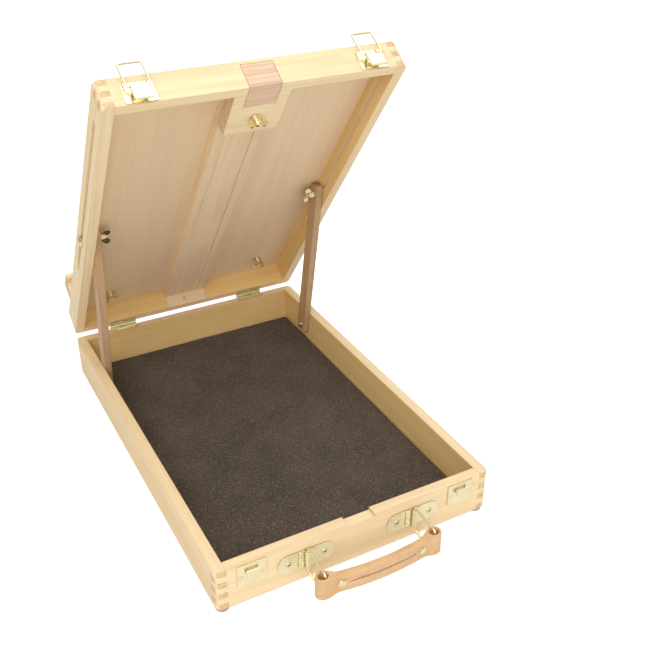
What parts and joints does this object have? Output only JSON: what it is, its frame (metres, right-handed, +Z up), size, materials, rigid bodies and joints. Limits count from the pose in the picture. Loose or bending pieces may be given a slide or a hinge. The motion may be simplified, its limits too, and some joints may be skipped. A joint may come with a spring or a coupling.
{
  "type": "pochade box",
  "caption": "Wooden sketch box with comb-jointed tray, a lid that props up on slotted struts as an easel, a sliding mast, draw latches and a hinged leather handle.",
  "frame": {"origin": "on the table, under the middle of the tray's four feet", "axes": "+Z up; +X along the lid's hinge, to the right as seen from the latch and handle side; +Y from the latch side to the hinge side"},
  "size_m": [0.2858, 0.4952, 0.4184],
  "materials": {
    "wood_light": "bare sanded beech, satin",
    "wood_rosy": "bare sanded beech, rosier, satin",
    "wood_strut": "red-brown hardwood, satin",
    "ply_lid": "thin plywood, pinkish tan, satin",
    "ply_bottom": "thin plywood, plain",
    "foam": "dark speckled foam, matt",
    "rubber_foot": "brown rubber, matt",
    "brass_plate": "brass-plated sheet and wire, bright",
    "leather_grip": "tan leather, waxed"
  },
  "bodies": {
    "tray": {"tray_front_board": "wood_light", "tray_back_board": "wood_light", "tray_left_board": "wood_light", "tray_right_board": "wood_light", "tray_bottom_panel": "ply_bottom", "foam_mat": "foam", "feet": "rubber_foot", "strike_plate_left": "brass_plate", "strike_plate_right": "brass_plate", "strike_screws": "brass_plate", "handle_plate_left": "brass_plate", "handle_plate_right": "brass_plate", "handle_plate_screws": "brass_plate", "tray_hinge_leaf_left": "brass_plate", "tray_hinge_leaf_right": "brass_plate", "hinge_pins": "brass_plate", "tray_hinge_screws": "brass_plate"},
    "lid": {"lid_top_rail": "wood_light", "lid_bottom_rail": "wood_light", "lid_left_rail": "wood_light", "lid_right_rail": "wood_light", "lid_panel": "ply_lid", "mast_guide_left": "wood_rosy", "mast_guide_right": "wood_rosy", "mast_bridge": "wood_light", "mast_stop_block": "wood_rosy", "stop_block_nail": "brass_plate", "canvas_ledge": "wood_light", "ledge_bolts": "brass_plate", "lid_hinge_leaf_left": "brass_plate", "lid_hinge_leaf_right": "brass_plate", "lid_hinge_screws": "brass_plate", "latch_plate_left": "brass_plate", "latch_plate_right": "brass_plate", "latch_pins": "brass_plate", "latch_screws": "brass_plate"},
    "mast": {"mast_bar": "wood_rosy", "mast_head_block": "wood_rosy"},
    "mast_clamp": {"mast_clamp_bolt": "brass_plate"},
    "ledge_nut_left": {"ledge_wing_nut_left": "brass_plate"},
    "ledge_nut_right": {"ledge_wing_nut_right": "brass_plate"},
    "slot_bolt_left": {"slot_bolt_left": "brass_plate"},
    "strut_left": {"strut_left": "wood_strut", "strut_foot_screw_left": "brass_plate"},
    "strut_nut_left": {"strut_wing_nut_left": "brass_plate"},
    "slot_bolt_right": {"slot_bolt_right": "brass_plate"},
    "strut_right": {"strut_right": "wood_strut", "strut_foot_screw_right": "brass_plate"},
    "strut_nut_right": {"strut_wing_nut_right": "brass_plate"},
    "latch_lever_left": {"latch_lever_left": "brass_plate"},
    "latch_loop_left": {"latch_loop_left": "brass_plate"},
    "latch_lever_right": {"latch_lever_right": "brass_plate"},
    "latch_loop_right": {"latch_loop_right": "brass_plate"},
    "handle_ring_left": {"handle_ring_left": "brass_plate"},
    "handle_ring_right": {"handle_ring_right": "brass_plate"},
    "handle_grip": {"handle_grip": "leather_grip", "handle_rivets": "brass_plate"}
  },
  "joints": [
    {"name": "lid_hinge", "type": "hinge", "parent": "tray", "child": "lid", "pos_m": [0, 0.2158, 0.0496], "axis": [-1, 0, 0], "range_deg": [-52.8, 37.2]},
    {"name": "mast_slide", "type": "slide", "parent": "lid", "child": "mast", "axis": [0, -0.6046, 0.7965], "range_m": [0, 0.3]},
    {"name": "mast_clamp_turn", "type": "hinge", "parent": "lid", "child": "mast_clamp", "pos_m": [0, -0.0165, 0.35763], "axis": [0, 0.7965, 0.6046], "continuous": true},
    {"name": "ledge_nut_left_turn", "type": "hinge", "parent": "lid", "child": "ledge_nut_left", "pos_m": [-0.095, 0.2107, 0.09883], "axis": [0, 0.7965, 0.6046], "continuous": true},
    {"name": "ledge_nut_right_turn", "type": "hinge", "parent": "lid", "child": "ledge_nut_right", "pos_m": [0.095, 0.2107, 0.09883], "axis": [0, 0.7965, 0.6046], "continuous": true},
    {"name": "slot_bolt_left_slide", "type": "slide", "parent": "lid", "child": "slot_bolt_left", "axis": [0, -0.6046, 0.7965], "range_m": [-0.05156, 0.07309]},
    {"name": "strut_left_pivot", "type": "hinge", "parent": "slot_bolt_left", "child": "strut_left", "pos_m": [-0.125, 0.10719, 0.21742], "axis": [-1, 0, 0], "range_deg": [-13.93, 9.87]},
    {"name": "strut_nut_left_turn", "type": "hinge", "parent": "slot_bolt_left", "child": "strut_nut_left", "pos_m": [-0.118, 0.10719, 0.21742], "axis": [-1, 0, 0], "continuous": true},
    {"name": "slot_bolt_right_slide", "type": "slide", "parent": "lid", "child": "slot_bolt_right", "axis": [0, -0.6046, 0.7965], "range_m": [-0.05156, 0.07309]},
    {"name": "strut_right_pivot", "type": "hinge", "parent": "slot_bolt_right", "child": "strut_right", "pos_m": [0.125, 0.10719, 0.21742], "axis": [-1, 0, 0], "range_deg": [-13.93, 9.87]},
    {"name": "strut_nut_right_turn", "type": "hinge", "parent": "slot_bolt_right", "child": "strut_nut_right", "pos_m": [0.118, 0.10719, 0.21742], "axis": [1, 0, 0], "continuous": true},
    {"name": "latch_lever_left_turn", "type": "hinge", "parent": "lid", "child": "latch_lever_left", "pos_m": [-0.107, -0.03754, 0.4028], "axis": [-1, 0, 0], "range_deg": [0, 115]},
    {"name": "latch_loop_left_swing", "type": "hinge", "parent": "latch_lever_left", "child": "latch_loop_left", "pos_m": [-0.107, -0.03547, 0.40437], "axis": [1, 0, 0], "range_deg": [-0.5, 299.5]},
    {"name": "latch_lever_right_turn", "type": "hinge", "parent": "lid", "child": "latch_lever_right", "pos_m": [0.107, -0.03754, 0.4028], "axis": [-1, 0, 0], "range_deg": [0, 115]},
    {"name": "latch_loop_right_swing", "type": "hinge", "parent": "latch_lever_right", "child": "latch_loop_right", "pos_m": [0.107, -0.03547, 0.40437], "axis": [1, 0, 0], "range_deg": [-0.5, 299.5]},
    {"name": "handle_ring_left_swing", "type": "hinge", "parent": "tray", "child": "handle_ring_left", "pos_m": [-0.055, -0.2163, 0.0285], "axis": [0, 0, 1], "range_deg": [-67, 73]},
    {"name": "handle_grip_turn", "type": "hinge", "parent": "handle_ring_left", "child": "handle_grip", "pos_m": [-0.05683, -0.25125, 0.0285], "axis": [0, 0, 1], "range_deg": [-73.5, 67.5]},
    {"name": "handle_ring_right_swing", "type": "hinge", "parent": "tray", "child": "handle_ring_right", "pos_m": [0.055, -0.2163, 0.0285], "axis": [0, 0, 1], "range_deg": [-67.5, 73.5]}
  ],
  "couplings": [
    {"joint": "slot_bolt_left_slide", "follows": "lid_hinge", "m_per_rad": -0.0791},
    {"joint": "strut_left_pivot", "follows": "lid_hinge", "ratio": 0.26},
    {"joint": "slot_bolt_right_slide", "follows": "lid_hinge", "m_per_rad": -0.0791},
    {"joint": "strut_right_pivot", "follows": "lid_hinge", "ratio": 0.26},
    {"joint": "latch_loop_left_swing", "follows": "latch_lever_left_turn", "ratio": 2.6},
    {"joint": "latch_loop_right_swing", "follows": "latch_lever_right_turn", "ratio": 2.6},
    {"joint": "handle_grip_turn", "follows": "handle_ring_left_swing", "ratio": -1},
    {"joint": "handle_ring_right_swing", "follows": "handle_ring_left_swing", "ratio": 1}
  ]
}
